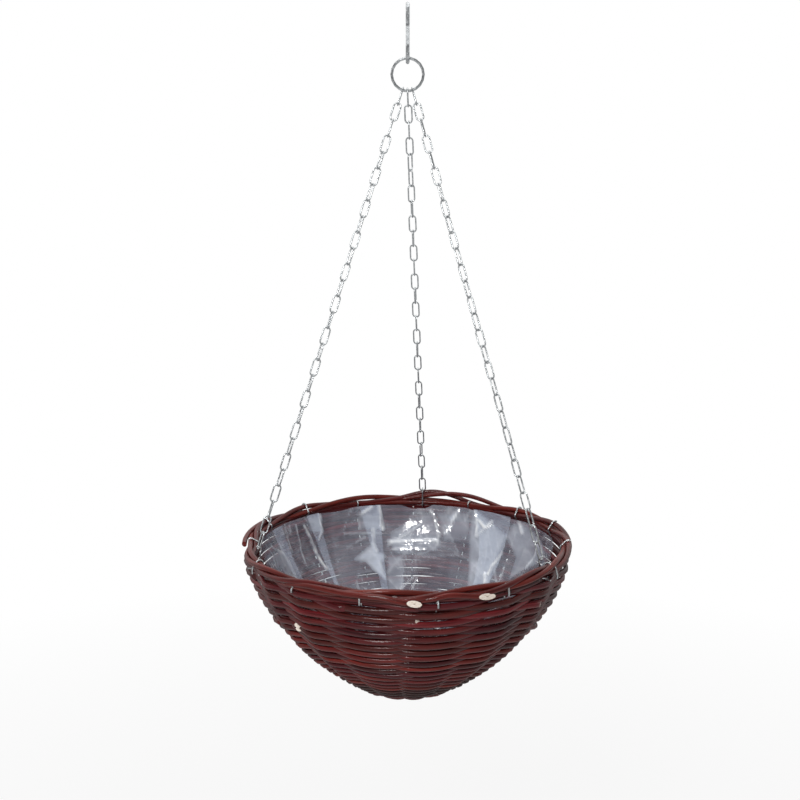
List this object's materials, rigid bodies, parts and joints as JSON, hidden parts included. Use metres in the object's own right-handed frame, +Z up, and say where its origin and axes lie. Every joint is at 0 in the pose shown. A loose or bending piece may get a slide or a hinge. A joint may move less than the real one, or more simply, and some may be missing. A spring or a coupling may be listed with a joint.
{
  "type": "hanging wicker planter",
  "caption": "Round woven willow bowl with a twisted border, wire ribs and a clear liner, hung on link chains from a ring and an open hook.",
  "frame": {"origin": "inside top of the hook's bow, the point that the planter hangs from", "axes": "+Z up, -Y towards the front, one chain at the back 7 degrees from +Y towards +X and the other two a third of a turn on either side"},
  "size_m": [0.3469, 0.3469, 0.7037],
  "materials": {
    "galvanised_wire": "galvanised, satin",
    "stained_willow": "dark red-brown stained willow with a soft gloss",
    "clear_film": "clear polythene film, glossy"
  },
  "bodies": {
    "hook": {"hanging_hook": "galvanised_wire"},
    "ring": {"gathering_ring": "galvanised_wire"},
    "basket": {"wale_band": "stained_willow", "upper_siding": "stained_willow", "middle_siding": "stained_willow", "lower_siding": "stained_willow", "foot_siding": "stained_willow", "woven_base": "stained_willow", "border_rod_1": "stained_willow", "border_rod_2": "stained_willow", "border_rod_3": "stained_willow", "frame_rib_01": "galvanised_wire", "frame_rib_02": "galvanised_wire", "frame_rib_03": "galvanised_wire", "frame_rib_04": "galvanised_wire", "frame_rib_05": "galvanised_wire", "frame_rib_06": "galvanised_wire", "frame_rib_07": "galvanised_wire", "frame_rib_08": "galvanised_wire", "frame_rib_09": "galvanised_wire", "frame_rib_10": "galvanised_wire", "frame_rib_11": "galvanised_wire", "frame_rib_12": "galvanised_wire", "frame_rib_13": "galvanised_wire", "frame_rib_14": "galvanised_wire", "frame_rib_15": "galvanised_wire", "base_ring": "galvanised_wire", "clear_liner": "clear_film", "rim_clip_back": "galvanised_wire", "rim_clip_left": "galvanised_wire", "rim_clip_right": "galvanised_wire", "chain_back_top_link": "galvanised_wire", "chain_left_top_link": "galvanised_wire", "chain_right_top_link": "galvanised_wire"},
    "chain_back_1": {"chain_back_stretch_1": "galvanised_wire"},
    "chain_back_2": {"chain_back_stretch_2": "galvanised_wire"},
    "chain_back_3": {"chain_back_stretch_3": "galvanised_wire"},
    "chain_back_4": {"chain_back_stretch_4": "galvanised_wire"},
    "chain_left_1": {"chain_left_stretch_1": "galvanised_wire"},
    "chain_left_2": {"chain_left_stretch_2": "galvanised_wire"},
    "chain_left_3": {"chain_left_stretch_3": "galvanised_wire"},
    "chain_left_4": {"chain_left_stretch_4": "galvanised_wire"},
    "chain_right_1": {"chain_right_stretch_1": "galvanised_wire"},
    "chain_right_2": {"chain_right_stretch_2": "galvanised_wire"},
    "chain_right_3": {"chain_right_stretch_3": "galvanised_wire"},
    "chain_right_4": {"chain_right_stretch_4": "galvanised_wire"}
  },
  "joints": [
    {"name": "ring_swing", "type": "hinge", "parent": "hook", "child": "ring", "pos_m": [0, 0, -0.052], "axis": [0, 1, 0], "range_deg": [-30, 30]},
    {"name": "basket_swing", "type": "hinge", "parent": "ring", "child": "basket", "pos_m": [0, 0, -0.0792], "axis": [1, 0, 0], "range_deg": [-30, 30]},
    {"name": "chain_back_fold_1", "type": "hinge", "parent": "basket", "child": "chain_back_1", "pos_m": [0.00131, 0.01069, -0.10896], "axis": [0.999, 0, 0.044], "range_deg": [0, 60]},
    {"name": "chain_back_fold_2", "type": "hinge", "parent": "chain_back_1", "child": "chain_back_2", "pos_m": [0.00606, 0.04938, -0.21673], "axis": [0.9925, -0.1219, 0], "range_deg": [0, 60]},
    {"name": "chain_back_fold_3", "type": "hinge", "parent": "chain_back_2", "child": "chain_back_3", "pos_m": [0.0115, 0.09364, -0.33996], "axis": [0.9925, -0.1219, 0], "range_deg": [0, 60]},
    {"name": "chain_back_fold_4", "type": "hinge", "parent": "chain_back_3", "child": "chain_back_4", "pos_m": [0.01557, 0.12678, -0.43226], "axis": [0.9925, -0.1219, 0], "range_deg": [0, 60]},
    {"name": "chain_left_fold_1", "type": "hinge", "parent": "basket", "child": "chain_left_1", "pos_m": [-0.0096, -0.00202, -0.09272], "axis": [-0.0406, 0.9911, -0.1266], "range_deg": [0, 60]},
    {"name": "chain_left_fold_2", "type": "hinge", "parent": "chain_left_1", "child": "chain_left_2", "pos_m": [-0.04925, -0.01944, -0.2164], "axis": [-0.4022, 0.9155, 0], "range_deg": [0, 60]},
    {"name": "chain_left_fold_3", "type": "hinge", "parent": "chain_left_2", "child": "chain_left_3", "pos_m": [-0.08891, -0.03686, -0.34009], "axis": [-0.4022, 0.9155, 0], "range_deg": [0, 60]},
    {"name": "chain_left_fold_4", "type": "hinge", "parent": "chain_left_3", "child": "chain_left_4", "pos_m": [-0.11861, -0.04991, -0.43272], "axis": [-0.4022, 0.9155, 0], "range_deg": [0, 60]},
    {"name": "chain_right_fold_1", "type": "hinge", "parent": "basket", "child": "chain_right_1", "pos_m": [0.00897, -0.00311, -0.09271], "axis": [-0.0546, -0.9788, 0.1973], "range_deg": [0, 60]},
    {"name": "chain_right_fold_2", "type": "hinge", "parent": "chain_right_1", "child": "chain_right_2", "pos_m": [0.04319, -0.02994, -0.21633], "axis": [-0.617, -0.7869, 0], "range_deg": [0, 60]},
    {"name": "chain_right_fold_3", "type": "hinge", "parent": "chain_right_2", "child": "chain_right_3", "pos_m": [0.07741, -0.05677, -0.33996], "axis": [-0.617, -0.7869, 0], "range_deg": [0, 60]},
    {"name": "chain_right_fold_4", "type": "hinge", "parent": "chain_right_3", "child": "chain_right_4", "pos_m": [0.10304, -0.07687, -0.43255], "axis": [-0.617, -0.7869, 0], "range_deg": [0, 60]}
  ]
}
